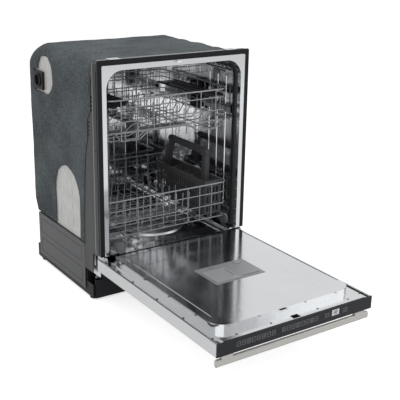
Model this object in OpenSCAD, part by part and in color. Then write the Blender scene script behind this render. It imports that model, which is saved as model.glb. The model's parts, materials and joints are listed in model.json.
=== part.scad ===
// Built-in dishwasher with its drop-down door open and both racks pushed in.
// X runs across the front, Y from the front plane of the tub towards the back, Z up from the floor.

/* [Cabinet] */
// Width across the front trim
overall_w = 600; // [598:1:604]
// Height from the floor to the top of the front trim
overall_h = 860; // [858:1:868]
// Depth of the insulated body behind the front plane
body_d = 558; // [556:1:570]
// Height of the top edge of the two grey side panels
side_panel_top = 200; // [196:1:204]

/* [Tub] */
// Clear width inside the tub
tub_w = 536; // [535:0.5:537]
// Clear depth inside the tub
tub_d = 530; // [529:0.5:532]
// Height of the tub's ceiling above the floor
tub_top = 824; // [822:1:825]
// Thickness of the tub and door sheet steel
sheet = 1.5; // [1.2:0.1:1.5]
// Spacing of the pressed ribs in the tub walls
rib_pitch = 52; // [48:1:60]

/* [Door] */
// Distance from the hinge line to the top edge of the door
door_reach = 682; // [678:1:684]
// Thickness of the door without its raised inner panel
door_t = 43; // [40:1:46]
// How far the inner panel stands out towards the tub
plateau_rise = 20; // [18:1:21]
// Length of the bar handle
handle_l = 584; // [500:2:590]

/* [Racks] */
// Diameter of the rim wires
rim_d = 6; // [5:0.5:6]
// Diameter of the thinner rack wires
wire_d = 4; // [3:0.5:4]
// Spacing of the plate tines
tine_pitch = 28; // [24:1:32]
// Height of the plate tines above their row wire
tine_h = 84; // [60:1:86]
// Height of the lower rack's rim
lower_rim_z = 366; // [355:1:375]
// Height of the upper rack's rim
upper_rim_z = 716; // [712:1:718]

/* [Basket] */
// Width of the cutlery basket
basket_w = 74; // [64:1:76]
// Length of the cutlery basket
basket_l = 340; // [300:1:344]
// Height of the basket's rim above its floor
basket_h = 128; // [110:1:130]

/* [Hidden] */
$fn = 48;

// Running clearance on a radius, and the gap between neighbours that don't touch
run = 0.05;
gap = 0.3;
half_w = overall_w / 2;
tub_half = tub_w / 2;
tub_corner = 60;

// Floor of the tub: a middle pan, with a wheel ledge on each side
ledge_z = 195.5;
pan_z = 181;
pan_half = 228;
trim_w = 16;
flange_half = half_w - trim_w - gap;
flange_top = overall_h - 18;
flange_bottom = 192;

// Hinge line of the door, and the planes of the open door
hinge_z = 178;
liner_z = hinge_z - 1;
plateau_z = liner_z + plateau_rise;
skin_z = hinge_z - 1 - door_t;
door_rear = 30;
plateau_half = tub_half - 6;
plateau_front = -632;
plateau_rear = -24;
track_in = 236;
track_out = 258;
track_depth = plateau_z - ledge_z;

// Wash arm centre and sump
arm_y = 280;
sump_x = 30;
sump_y = 240;
sump_r = 126;
filter_x = 72;
filter_y = 200;

// Racks, pushed in
rack_front = 40;
rack_back = 502;
rack_half = 250;
lower_floor_z = 235;
upper_floor_z = 600;
wheel_r = 17;
wheel_z = ledge_z + wheel_r + 0.2;
wheel_ys = [56, 156, 316, 416];
lower_corner = 20;
upper_corner = 36;
back_corner = 12;

// Sides of a drawn wire, how far upright wires stand inside the level ones, and the ends of two wall mats
wire_sides = 8;
wire_in = 3;
mat_lap = 8;
mat_gap = 0.3;

// Upper rack: the drop of its side troughs, its cup tines and the shelves' hinge lines
step_drop = 26;
cup_tine_h = 58;
shelf_x = 237;

// Clips of the folding tine rows, each over a floor wire
clip_xs = [-79, 26];
tine_ys = [108, 204, 300, 400];
fold_z = lower_floor_z + 10.4;

// The furthest point behind the tub's front plane, and the shift that centres the box round the appliance
rear_reach = tub_d + 38;
set_back = (door_reach - rear_reach) / 2;

// ---- Helpers -------------------------------------------------------------

// Children drawn from the tub's front plane, moved to the frame's origin under the middle of the box
module placed() {
    translate([0, set_back, 0]) children();
}

// A box between two opposite corners
module slab(lo, hi) {
    translate(lo) cube(hi - lo);
}

// The children, and the same again on the other side
module both_sides() {
    children();
    mirror([1, 0, 0]) children();
}

// A rectangle between two corners with its own radius at the bottom and at the top
module rounded(lo, hi, r_low, r_high) {
    translate([lo.x, lo.y + r_low]) square([hi.x - lo.x, hi.y - lo.y - r_low - r_high]);
    translate([lo.x + r_low, lo.y]) square([hi.x - lo.x - 2 * r_low, r_low + 0.01]);
    translate([lo.x + r_high, hi.y - r_high - 0.01]) square([hi.x - lo.x - 2 * r_high, r_high + 0.01]);
    for (x = [lo.x + r_low, hi.x - r_low]) translate([x, lo.y + r_low]) circle(r_low);
    for (x = [lo.x + r_high, hi.x - r_high]) translate([x, hi.y - r_high]) circle(r_high);
}

// Extrudes an XZ outline along Y, a YZ outline along X, and a disc along each of them
module along_y(y0, y1) {
    translate([0, y1, 0]) rotate([90, 0, 0]) linear_extrude(y1 - y0) children();
}

module along_x(x0, x1) {
    translate([x0, 0, 0]) rotate([90, 0, 90]) linear_extrude(x1 - x0) children();
}

module along_z(z0, z1) {
    translate([0, 0, z0]) linear_extrude(z1 - z0) children();
}

module rod_x(x0, x1, y, z, r) {
    translate([x0, y, z]) rotate([0, 90, 0]) cylinder(r = r, h = x1 - x0);
}

module rod_y(x, y0, y1, z, r) {
    translate([x, y0, z]) rotate([-90, 0, 0]) cylinder(r = r, h = y1 - y0);
}

module rod_z(x, y, z0, z1, r) {
    translate([x, y, z0]) cylinder(r = r, h = z1 - z0);
}

// A drawn wire between two points, and one that follows a list of points
module wire(a, b, d) {
    v = b - a;
    translate(a) rotate([0, acos(v.z / norm(v)), atan2(v.y, v.x)])
        cylinder(d = d, h = norm(v), $fn = wire_sides);
}

// Wires end to end; every second one is a little thinner, so no two bends share a surface
module wire_path(points, d) {
    for (i = [1:len(points) - 1]) {
        step = points[i] - points[i - 1];
        reach = step / norm(step) * d * 0.3;
        wire(points[i - 1] - reach, points[i] + reach, i % 2 == 0 ? d : d * 0.96);
    }
}

// ---- Cabinet ---------------------------------------------------------------

// Outline of the tub's hollow, grown by t
module tub_outline(t) {
    rounded([-tub_half - t, ledge_z - t], [tub_half + t, tub_top + t], 6 + t, tub_corner + t);
    rounded([-pan_half - t, pan_z - t], [pan_half + t, ledge_z + 30], 8 + t, 1);
}

module tub() {
    wall = sheet / 2;
    rib_r = 3;
    rib_low = 262;
    rib_high = 752;
    color("silver") placed() {
        difference() {
            union() {
                along_y(0, tub_d + sheet) tub_outline(sheet);
                along_y(0, sheet)
                    rounded([-flange_half, flange_bottom], [flange_half, flange_top], 1, 5);
            }
            along_y(-1, tub_d) tub_outline(0);
            rod_z(sump_x, sump_y, pan_z - 5, pan_z + 5, sump_r);
            rod_x(tub_half - 4, tub_half + 4, 275, 332, 30);
            slab([-11, -1, flange_top - 8.5], [11, 3, flange_top - 1.5]);
        }
        slab([-pan_half, 1, pan_z - 0.5], [pan_half, 1 + sheet, 190]);
        for (y = [88:rib_pitch:tub_d - 20]) if (abs(y - 275) > 40) both_sides()
            rod_z(tub_half + wall, y, rib_low, rib_high, rib_r);
        for (x = [40:rib_pitch:tub_half - 40]) both_sides()
            rod_z(x, tub_d + wall, rib_low, rib_high, rib_r);
        for (x = [60, 130, 195]) both_sides()
            rod_y(x, 90, tub_d - 60, tub_top + wall, rib_r);
    }
}

module front_trim() {
    color("#1b1c1e") placed() {
        difference() {
            along_y(0, 4) rounded([-half_w, flange_bottom], [half_w, overall_h], 2, 7);
            along_y(-1, 5) rounded([-half_w + trim_w, 100], [half_w - trim_w, overall_h - trim_w], 1, 6);
            both_sides() slab([half_w - 12, 1, 300], [half_w - 4, 5, overall_h - 30]);
        }
    }
}

// Folded steel channels that stiffen the front edge of the body
module front_channels() {
    in_x = half_w - 3.2;
    out_x = half_w - 1.7;
    side = [[4.3, 850], [48, 850], [56, 838], [60, 690], [82, 660], [84, 595], [106, 520], [126, 290],
        [128, 112], [62, 112], [62, 186], [4.3, 193]];
    lip = [[56, 800], [60, 690], [82, 660], [84, 595], [106, 520], [126, 290], [127, 202], [123, 202],
        [122, 290], [102, 519], [80, 594], [78, 658], [56, 688], [52, 800]];
    color("#4b4e52") placed() {
        both_sides() difference() {
            union() {
                along_x(in_x, out_x) polygon(side);
                slab([in_x - 6, 4.3, 200], [out_x, 5.8, 850]);
                rod_z(in_x + 0.6, 40, 200, 780, 2);
                rod_z(in_x + 0.6, 14, 200, tub_top, 2);
                along_x(out_x - 0.1, half_w - 0.4) polygon(lip);
            }
            for (z = [690, 704, 718, 732]) slab([in_x - 1, 44, z], [half_w, 51, z + 7]);
            for (z = [604, 618, 632, 646]) slab([in_x - 1, 66, z], [half_w, 75, z + 7]);
            for (z = [240, 560]) rod_x(in_x - 1, out_x + 2, 24, z, 3);
        }
        slab([-half_w + 8, 4.3, overall_h - 3.5], [half_w - 8, 30, overall_h - 2]);
        slab([-half_w + 8, 4.3, overall_h - 12], [half_w - 8, 5.8, overall_h - 2.1]);
    }
}

module door_seal() {
    depth = 5;
    color("#141414") placed() difference() {
        along_y(24, 40) tub_outline(-0.1);
        along_y(23, 41) rounded([-tub_half + depth, 100], [tub_half - depth, tub_top - depth],
            1, tub_corner - depth);
        along_y(30, 34) rounded([-tub_half + 2, 100], [tub_half - 2, tub_top - 2], 1, tub_corner - 2);
        slab([-half_w, 20, 100], [half_w, 45, ledge_z + 6]);
    }
}

// Side outline of the blanket: square at the front, rounded at the top of the back
module blanket_outline(front, low, back, top, r, cut) {
    polygon([[front, low], [back - cut, low], [back, low + 2.7 * cut], [back, top - r], [front, top - r]]);
    translate([front, top - r - 0.01]) square([back - r - front, r + 0.01]);
    translate([back - r, top - r]) circle(r);
}

// Felt blanket over the top, back and sides, cut away over the water tank
module insulation_blanket() {
    outer_x = half_w - 3.3;
    inner_x = tub_half + 6;
    top = overall_h - 5;
    low = side_panel_top + 1;
    color("#50585d") placed() difference() {
        along_x(-outer_x, outer_x) blanket_outline(8, low, body_d, top, 75, 19);
        along_x(-inner_x, inner_x) blanket_outline(0, 100, body_d - 22.5, tub_top + 8, 14, 1);
        slab([-half_w, 0, 100], [half_w, 60, tub_top + 8]);
        slab([-half_w + 7.6, 140, 190], [-inner_x + 2, 514, tub_top - 2]);
        slab([-half_w, 428, 689], [-half_w + 20, 515, 761]);
        along_x(-half_w, -half_w + 20) tank_window(418, 742, 758, 58);
        along_x(-half_w, -half_w + 20) tank_window(264, 180, 352, 94);
    }
}

// A round-topped window between two heights
module tank_window(y, z0, z1, r) {
    translate([y, z1]) circle(r);
    translate([y - r, z0]) square([2 * r, z1 - z0]);
    translate([y, z0]) circle(r);
}

module base_pan() {
    w = half_w - 6;
    back = body_d - 6;
    color("#1a1a1c") placed() {
        difference() {
            slab([-w, 78, 9], [w, back, 60]);
            slab([-w + 3, 81, 12], [w - 3, back - 3, 61]);
            rod_y(200, back - 5, back + 5, 70, 12.5);
            rod_y(-225, back - 5, back + 5, 42, 15);
        }
        for (x = [-150, -50, 50, 150]) slab([x - 1, 81, 11], [x + 1, back - 3, 17]);
        for (y = [180, 440]) slab([-w + 2, y - 1, 11], [w - 2, y + 1, 17]);
        both_sides() for (y = [120, 505]) slab([262, y, 11], [w - 1, y + 24, ledge_z - sheet - 0.2]);
        both_sides() slab([264, 96, 11], [272, 106, 60.2]);
        both_sides() slab([266, 122, 100], [271, 510, 112]);
    }
}

module side_panels() {
    in_x = half_w - 4.5;
    out_x = half_w - 2;
    front = 130;
    back = 524;
    color("#5f6062") placed() both_sides() {
        difference() {
            union() {
                slab([in_x, front, 28], [out_x, back, side_panel_top]);
                slab([in_x - 12, front + 2, side_panel_top - 2.5], [out_x, back, side_panel_top]);
            }
            for (z = [46, 124]) {
                pressed_frame(z, z + 58, front + 22, back - 20, out_x);
            }
            rod_x(in_x - 1, out_x + 1, front + 12, 190, 2.6);
            rod_x(in_x - 1, out_x + 1, back - 12, 190, 2.6);
        }
    }
}

// A pressed outline, 0.8 deep and 4 wide
module pressed_frame(z0, z1, y0, y1, x) {
    difference() {
        slab([x - 0.8, y0, z0], [x + 1, y1, z1]);
        slab([x - 2, y0 + 4, z0 + 4], [x + 2, y1 - 4, z1 - 4]);
    }
}

module toe_kick() {
    color("#18191b") placed() difference() {
        union() {
            slab([-half_w + 14, 70, 8], [half_w - 14, 72, 118]);
            slab([-half_w + 14, 70, 116], [half_w - 14, 84, 118]);
            both_sides() slab([half_w - 16, 70, 8], [half_w - 14, 77.6, 118]);
        }
        slab([-236, 69, 62], [-231, 73, 84]);
        both_sides() slab([260, 69, 78], [290, 95, 120]);
        both_sides() rod_y(210, 69, 73, 100, 3);
    }
}

module levelling_feet() {
    color("#2a2a2c") placed() both_sides() for (y = [104, 517]) {
        rod_z(275, y, 0, 4, 17);
        rod_z(275, y, 4, 8.9, 12);
    }
}

module air_break_tank() {
    x0 = -half_w + 8.5;
    x1 = -tub_half - 6.5;
    color("#d9d9d4") placed() difference() {
        union() {
            along_x(x0 + 1, x1) rounded([146, 203], [508, 816], 14, 24);
            for (z = [330, 450, 570, 690]) slab([x0, 160, z], [x0 + 2, 470, z + 8]);
            for (y = [230, 330, 420]) slab([x0, y, 230], [x0 + 2, y + 8, 790]);
        }
        along_x(x0 + 3, x1 - 2) rounded([150, 207], [504, 812], 12, 22);
    }
}

module vent_outlet() {
    color("#161616") placed() difference() {
        union() {
            slab([-half_w, 431, 692], [-half_w + 7.2, 512, 758]);
            rod_x(-half_w - 4, -half_w + 1, 470, 725, 25);
        }
        rod_x(-half_w - 5, -half_w + 5, 470, 725, 20);
    }
}

module sump() {
    color("#2c2d30") placed() {
        difference() {
            union() {
                rod_z(sump_x, sump_y, 172, pan_z - sheet - 0.05, 140);
                rod_z(sump_x, sump_y, 128, 173, 108);
                translate([sump_x, sump_y, 96]) cylinder(r1 = 60, r2 = 108, h = 32.5);
                rod_y(-40, sump_y + 20, sump_y + 114, 140, 20);
                rod_x(sump_x, sump_x + 120, sump_y + 40, 118, 14);
            }
            rod_z(sump_x, sump_y, 130, 185, 104);
            translate([sump_x, sump_y, 99]) cylinder(r1 = 57, r2 = 104, h = 31.5);
            rod_y(-40, sump_y + 20, sump_y + 151, 140, 16);
            rod_x(sump_x, sump_x + 121, sump_y + 40, 118, 11);
        }
        rod_z(0, arm_y, 98, 184, 15);
        rod_z(0, arm_y, 183, 197.5, 11);
        rod_z(0, arm_y, 197, 216, 8);
        rod_z(0, arm_y, 214.6, 217.5, 11);
    }
}

module fine_filter() {
    top = pan_z + 4.5;
    color("#b9bbbd") placed() difference() {
        union() {
            rod_z(sump_x, sump_y, pan_z + 0.1, top, 132);
            rod_z(filter_x, filter_y, top - 1, top + 2, 46);
        }
        rod_z(sump_x, sump_y, pan_z - 1, top - 1.5, 122);
        rod_z(0, arm_y, 170, 200, 19);
        rod_z(filter_x, filter_y, 170, 200, 38);
        for (ring = [0:2], k = [0:5:355]) if (k % (ring == 0 ? 10 : 5) == 0)
            mesh_hole(70 + ring * 16, k, top);
    }
}

// One hole of the fine filter, left out where the arm post and the coarse filter stand
module mesh_hole(r, a, top) {
    x = sump_x + r * cos(a);
    y = sump_y + r * sin(a);
    clear = norm([x - filter_x, y - filter_y]) > 50 && norm([x, y - arm_y]) > 26;
    if (clear && a % 15 == 0) slab([x - 2, y - 2, top - 3], [x + 2, y + 2, top + 1]);
}

module coarse_filter() {
    x = filter_x;
    y = filter_y;
    color("#8f9294") placed() {
        difference() {
            rod_z(x, y, 134, 190, 37.9);
            rod_z(x, y, 136, 191, 34);
            for (a = [0:30:330], z = [142, 160]) translate([x, y, z]) rotate(a)
                slab([30, -5, 0], [42, 5, 13]);
        }
        difference() {
            rod_z(x, y, 187.6, 190, 43);
            rod_z(x, y, 187, 191, 30);
        }
        slab([x - 31, y - 4, 183], [x + 31, y + 4, 194]);
        slab([x - 14, y - 6, 189], [x + 14, y + 6, 196]);
    }
}

module float_dome() {
    color("#7d7f82") placed() {
        rod_z(-190, 84, pan_z + 0.4, 196, 27);
        translate([-190, 84, 196]) cylinder(r1 = 27, r2 = 19, h = 8);
        rod_z(-190, 84, 204, 207, 12);
    }
}

module circulation_pump() {
    y = 400;
    z = 92;
    color("#3a3c40") placed() {
        difference() {
            union() {
                rod_x(-90, -20, y, z, 44);
                rod_x(-100, -20, y, z, 30);
                rod_y(-40, sump_y + 114.4, y, 140, 20);
                rod_z(-40, y, z, 150, 20);
            }
            for (a = [0:30:330]) translate([-50, y, z]) rotate([a, 0, 0])
                slab([-20, -2.5, 42], [20, 2.5, 46]);
        }
        rod_x(-200, -99, y, z, 40);
        for (x = [-190:12:-112]) rod_x(x, x + 3, y, z, 43);
        slab([-190, y - 24, 17.3], [-40, y + 24, 56]);
    }
}

module drain_pump() {
    color("#25272b") placed() {
        rod_y(200, 300, 372, 70, 30);
        rod_y(200, 371, 400, 70, 22);
        difference() {
            union() {
                rod_y(200, 399, rear_reach - 14, 70, 9.5);
                rod_y(200, rear_reach - 15, rear_reach, 70, 11);
                rod_x(sump_x + 121, 201, sump_y + 40, 118, 14);
                rod_y(190, sump_y + 30, 330, 118, 14);
                rod_z(190, 322, 70, 122, 14);
            }
            rod_y(200, 410, rear_reach + 1, 70, 7.5);
        }
        slab([180, 310, 17.3], [220, 360, 42]);
    }
}

module inlet_valve() {
    color("#dcdcd8") placed() {
        slab([-250, 470, 17.3], [-200, 520, 66]);
        difference() {
            union() {
                rod_y(-225, 519, rear_reach - 14, 42, 11);
                rod_y(-225, rear_reach - 15, rear_reach, 42, 13.2);
            }
            rod_y(-225, 530, rear_reach + 1, 42, 9);
        }
        rod_z(-238, 490, 65, 92, 9);
        rod_z(-212, 490, 65, 84, 11);
    }
}

module junction_box() {
    color("#8d9093") placed() difference() {
        slab([186, 92, 17.3], [252, 150, 78]);
        slab([188, 94, 19.3], [250, 148, 76]);
        rod_x(250 - 4, 256, 121, 50, 11);
        for (y = [100, 142]) rod_z(219, y, 70, 80, 2);
    }
}

module feed_tube() {
    y = tub_d - 13;
    z = 805;
    color("#c9cacc") placed() {
        rod_z(0, y, pan_z + 0.1, z, 10);
        rod_z(0, y, pan_z + 0.1, pan_z + 6, 12.5);
        rod_y(0, arm_y, y, z, 9);
        rod_z(0, arm_y, 792.5, z, 14);
        rod_z(0, arm_y, 774, 793, 6);
        rod_z(0, arm_y, 772, 776.5, 10);
        rod_y(0, 505, y, 560, 13);
        for (h = [300, 480, 700]) slab([-14, y + 4, h], [14, tub_d - 0.1, h + 14]);
        slab([-12, 360, z + 2], [12, 376, tub_top - 0.1]);
    }
}

module fixed_rails() {
    in_x = 262.2;
    out_x = 265.4;
    color("#aeb0b3") placed() both_sides() {
        difference() {
            slab([in_x, 46, 620], [out_x, 500, 652]);
            slab([in_x - 1, 45, 630], [in_x + 1.4, 501, 642]);
        }
        for (y = [114, 218, 426]) slab([out_x - 0.2, y - 9, 626], [tub_half - 0.1, y + 9, 646]);
    }
}

module middle_rails() {
    color("#c3c5c8") placed() both_sides() {
        slab([259.1, 46, 623], [261.9, 496, 629.5]);
        slab([259.1, 46, 642.5], [261.9, 496, 649]);
        slab([259.1, 46, 629], [260.2, 496, 643]);
    }
}

module hinge_brackets() {
    x0 = 284.5;
    x1 = 287.5;
    color("#9b9da0") placed() both_sides() difference() {
        union() {
            rod_x(x0, x1, 0, hinge_z, 11);
            slab([x0, 0, 167], [x1, 36, 189]);
            slab([x0, 34, 104], [x1, 88, 189]);
            slab([x0, 8, 188.5], [x1, 58, 236]);
            slab([x0 - 8, 84, 104], [x1, 88, 190]);
        }
        rod_x(x0 - 1, x1 + 1, 0, hinge_z, 5 + run);
        for (at = [[70, 120], [40, 215]]) rod_x(x0 - 1, x1 + 1, at.x, at.y, 3);
        slab([x0 - 1, 48, 134], [x1 + 1, 74, 176]);
    }
}

module hinge_pins() {
    color("#c8cacc") placed() both_sides() {
        rod_x(277.5, 288.6, 0, hinge_z, 5);
        rod_x(288.5, 290.5, 0, hinge_z, 8);
    }
}

module door_strike() {
    z = flange_top - 5;
    color("#b4b6b8") placed() {
        slab([-16, 1.6, z - 10], [16, 3.2, z + 4]);
        both_sides() slab([6, -13, z - 2], [9, 2, z + 2]);
        slab([-9, -13, z - 2], [9, -10.5, z + 2]);
    }
}

module mounting_tabs() {
    top = overall_h - 0.1;
    color("#a5a7aa") placed() both_sides() difference() {
        slab([210, 4.3, top - 1.8], [250, 34, top]);
        rod_z(230, 20, top - 4, top + 1, 2.8);
    }
}

module vent_cover() {
    x = tub_half - 0.2;
    color("#d6d7d8") placed() difference() {
        union() {
            rod_x(x - 7, x, 275, 332, 34);
            rod_x(x - 9, x - 6, 275, 332, 24);
        }
        rod_x(x - 10, x - 5, 275, 332, 19);
        for (a = [0:60:300]) translate([0, 275, 332]) rotate([a, 0, 0]) rod_x(x - 11, x + 1, 0, 12, 4.5);
        rod_x(x - 11, x + 1, 275, 332, 4.5);
    }
}

// One spring a side, at its open-door length, from the base up to the tail of the hinge arm
module door_springs() {
    hook = [268, 46, 165];
    anchor = [268, 104, 62];
    coil_r = 5.5;
    wire_r = 1.3;
    turns = 8;
    steps = 9;
    lean = (hook - anchor) / norm(hook - anchor);
    across = cross(lean, [1, 0, 0]);
    spin_to = turns * steps;
    path = [for (i = [0:spin_to])
        let (t = 0.12 + 0.76 * i / spin_to, a = i * 360 / steps)
        anchor + (hook - anchor) * t + coil_r * (cos(a) * [1, 0, 0] + sin(a) * across)];
    color("#8a8c8f") placed() both_sides() {
        tube_path(concat([anchor], path, [hook, [273, 44, 172], [278, 44, 173], [283.6, 44, 173]]), wire_r, 5);
    }
}

// A round tube swept along a list of points
module tube_path(path, r, sides) {
    n = len(path);
    rings = [for (i = [0:n - 1])
        let (a = path[max(i - 1, 0)], b = path[min(i + 1, n - 1)], t = (b - a) / norm(b - a),
            u = cross(t, [0, 0, 1]) / norm(cross(t, [0, 0, 1])), v = cross(u, t))
        for (k = [0:sides - 1]) path[i] + r * (u * cos(k * 360 / sides) + v * sin(k * 360 / sides))];
    walls = [for (i = [0:n - 2], k = [0:sides - 1])
        let (k2 = (k + 1) % sides)
        each [[i * sides + k, (i + 1) * sides + k, i * sides + k2],
            [i * sides + k2, (i + 1) * sides + k, (i + 1) * sides + k2]]];
    ends = [[for (k = [0:sides - 1]) k], [for (k = [sides - 1:-1:0]) (n - 1) * sides + k]];
    polyhedron(rings, concat(walls, ends));
}

// ---- Wash arms -------------------------------------------------------------

// A two-ended spray arm, tapered to round tips, with slots along its top
module wash_arm(reach, root, tip, z0, z1, hub_r, bore_r, hub_low, hub_high) {
    difference() {
        union() {
            for (side = [0, 180]) rotate(side) {
                along_z(z0, z1) polygon([[0, -root], [reach - tip, -tip], [reach - tip, tip], [0, root]]);
                rod_z(reach - tip, 0, z0, z1, tip);
            }
            rod_z(0, 0, hub_low, hub_high, hub_r);
        }
        rod_z(0, 0, hub_low - 1, hub_high + 1, bore_r);
        for (side = [0, 180], k = [1:6]) rotate(side)
            slab([k * reach / 7, -2 - k % 2 * 4, z1 - 3], [k * reach / 7 + 12, -k % 2 * 4 + 1, z1 + 1]);
    }
}

module lower_wash_arm() {
    color("#c5c7c9") placed() translate([0, arm_y, 0])
        wash_arm(222, 30, 17, 200, 210, 26, 8 + run, 198.2, 214.3);
}

module middle_wash_arm() {
    color("#6c6e71") placed() translate([0, arm_y, 0])
        wash_arm(218, 24, 14, 538, 546, 22, 7 + run, 537, 549.5);
}

module top_wash_arm() {
    color("#c5c7c9") placed() translate([0, arm_y, 0])
        wash_arm(150, 20, 12, 780, 787, 19, 6 + run, 777, 791.5);
}

module manifold() {
    color("#6a6c70") placed() {
        rod_y(0, arm_y, 504.4, 560, 9);
        rod_z(0, arm_y, 550, 569, 16);
        rod_z(0, arm_y, 534, 551, 7);
        rod_z(0, arm_y, 532, 536.5, 11);
        for (y = [320, 440]) slab([-9, y, 566], [9, y + 12, upper_floor_z - wire_d]);
    }
}

// ---- Door (open) -----------------------------------------------------------

// The flat pressing of the inner door, grown or shrunk by t
module plateau_outline(t) {
    rounded([-plateau_half - t, plateau_front - t], [plateau_half + t, plateau_rear + t],
        50 + t, 12 + t);
}

module inner_door() {
    edge = half_w - 9;
    step_x = tub_half + 4;
    border_z = liner_z - 5.5;
    color("#c4c6c8") placed() difference() {
        union() {
            slab([-step_x, -676, liner_z - sheet], [step_x, door_rear - 2, liner_z]);
            both_sides() slab([step_x - sheet, -676, border_z - sheet], [step_x, door_rear - 2, liner_z - 0.5]);
            both_sides() slab([step_x - 1, -676, border_z - sheet], [edge, door_rear - 2, border_z]);
            along_z(liner_z - 1, plateau_z) plateau_outline(0);
            along_z(liner_z - 1, liner_z + 4) plateau_outline(1.5);
        }
        difference() {
            along_z(liner_z - 2, plateau_z - sheet) plateau_outline(-sheet);
            both_sides() slab([track_in - sheet, plateau_front, plateau_z - track_depth - sheet],
                [track_out + sheet, plateau_rear, plateau_z]);
        }
        both_sides() along_z(plateau_z - track_depth, plateau_z + 1)
            rounded([track_in, plateau_front + 60], [track_out, plateau_rear + 1], 10.4, 1);
        slab([-98, -397, 140], [98, -263, 220]);
        both_sides() slab([278.5, -16, 140], [292, 40, 220]);
        slab([-14, -673, 160], [14, -653, 190]);
    }
}

module outer_panel() {
    front = -door_reach + 3;
    color("#d5d6d7") placed() difference() {
        union() {
            slab([-half_w + 2, front, skin_z], [half_w - 2, door_rear, skin_z + 1.3]);
            both_sides() slab([half_w - 3.3, front, skin_z], [half_w - 2, door_rear, liner_z - 1.5]);
            both_sides() slab([half_w - 9, front, liner_z - 2.8], [half_w - 2, door_rear, liner_z - 1.5]);
            slab([-half_w + 2, door_rear - 1.3, skin_z], [half_w - 2, door_rear, liner_z - 12]);
            slab([-half_w + 2, front, skin_z], [half_w - 2, front + 1.3, liner_z - 2]);
        }
        both_sides() slab([278.5, -16, 148], [290.8, 40, 220]);
        both_sides() rod_z(255, -672, skin_z - 2, skin_z + 3, 3);
    }
}

module control_panel() {
    front = -door_reach;
    color("#34353a") placed() difference() {
        slab([-half_w + 2, front, skin_z + 0.3], [half_w - 2, front + 2.9, liner_z]);
        slab([128, front - 1, 148], [162, front + 1.2, 172]);
        for (x = [-225:15:96]) key_mark(x, front, 158);
    }
}

// A shallow touch-key field
module key_mark(x, front, z) {
    difference() {
        slab([x - 5, front - 1, z - 4], [x + 5, front + 0.3, z + 4]);
        slab([x - 4.3, front - 2, z - 3.3], [x + 4.3, front + 1, z + 3.3]);
    }
}

module display_window() {
    front = -door_reach;
    color("#dfe4e8") placed() slab([128.3, front, 148.3], [161.7, front + 1.1, 171.7]);
}

module handle_bar() {
    z = skin_z - 24;
    y = -door_reach + 12;
    color("#b9babb") placed() difference() {
        union() {
            slab([-handle_l / 2, y - 7, z - 5], [handle_l / 2, y + 7, z + 5]);
            for (s = [-5, 5]) rod_x(-handle_l / 2, handle_l / 2, y, z + s, 7);
        }
    }
}

module handle_posts() {
    z = skin_z - 22;
    y = -door_reach + 12;
    color("#a8a9aa") placed() both_sides() difference() {
        slab([236, y - 6, z], [276, y + 6, skin_z - 0.1]);
        rod_z(255, y, skin_z - 8, skin_z + 1, 2.2);
    }
}

module hinge_arms() {
    x0 = 279.5;
    x1 = 282.5;
    color("#b3b5b7") placed() both_sides() difference() {
        union() {
            rod_x(x0, x1, 0, hinge_z, 10);
            slab([x0, -210, 152], [x1, 2, 169.8]);
            along_x(x0, x1) polygon([[-14, 154], [8, 168], [44, 162], [50, 168], [50, 180], [8, 187], [-9, 182]]);
        }
        rod_x(x0 - 1, x1 + 1, 0, hinge_z, 5 + run);
        rod_x(x0 - 1, x1 + 1, 44, 173, 2.5);
        for (y = [-60, -130, -190]) rod_x(x0 - 1, x1 + 1, y, 161, 3);
    }
}

module dispenser_body() {
    top = plateau_z + 1;
    color("#9a9c9f") placed() difference() {
        union() {
            slab([-97.6, -396.6, 150], [97.6, -263.4, top - 1]);
            slab([-92, -391, 150], [92, -269, top]);
        }
        slab([-86, -386, 166], [-6, -304, top + 1]);
        slab([-94, -393, 149], [94, -267, 163]);
        slab([2, -390, 149], [90, -271, 177]);
        rod_z(62, -283, 182, top + 1, 11 + run);
        rod_z(-46, -285, top - 2, top + 1, 9);
        slab([14, -384, top - 3], [84, -378, top + 1]);
    }
}

module dispenser_lid() {
    top = plateau_z + 1;
    color("#b6b8ba") placed() difference() {
        union() {
            slab([-89, -389, top + gap], [-3, -301, top + gap + 3]);
            slab([-12, -370, top + gap], [-7, -320, top + gap + 8]);
        }
        for (x = [-78:9:-24]) slab([x, -382, top + gap + 2.2], [x + 3, -308, top + gap + 4]);
    }
}

module rinse_cap() {
    top = plateau_z + 1;
    color("#77797c") placed() difference() {
        union() {
            rod_z(62, -283, 184, top + 1, 11);
            rod_z(62, -283, top + gap, top + 4, 12.5);
            slab([52, -285, top + 3], [72, -281, top + 7]);
        }
        rod_z(62, -283, 183, top - 1, 8);
    }
}

module door_latch() {
    color("#2b2c2f") placed() difference() {
        slab([-38, -674, 145], [38, -632, liner_z - sheet - 0.1]);
        slab([-13, -671.5, 158], [13, -652, 180]);
        both_sides() rod_z(30, -640, 140, 180, 2);
    }
}

module door_screws() {
    color("#6e7072") placed() {
        both_sides() for (y = [-40, -190, -340, -490, -640])
            rod_z(half_w - 16, y, liner_z - 5.5, liner_z - 3.5, 3.6);
        both_sides() for (x = [90, 215]) rod_z(x, -660, liner_z, liner_z + 0.7, 3.6);
    }
}

module bottom_seal() {
    color("#141414") placed() along_x(-224, 224) polygon([[-22.3, liner_z], [-14.3, liner_z], [-15.3, 184],
        [-19.3, 188], [-21.3, 186]]);
}

// ---- Lower rack --------------------------------------------------------------

// One level wire of the front wall's mat, bent back round both corners
module front_mat(z, d, half, corner) {
    ease = corner * 0.29;
    y0 = rack_front;
    end_y = y0 + corner + mat_lap;
    wire_path([[-half, end_y, z], [-half, y0 + corner, z], [-half + ease, y0 + ease, z], [-half + corner, y0, z],
        [half - corner, y0, z], [half - ease, y0 + ease, z], [half, y0 + corner, z], [half, end_y, z]], d);
}

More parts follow.
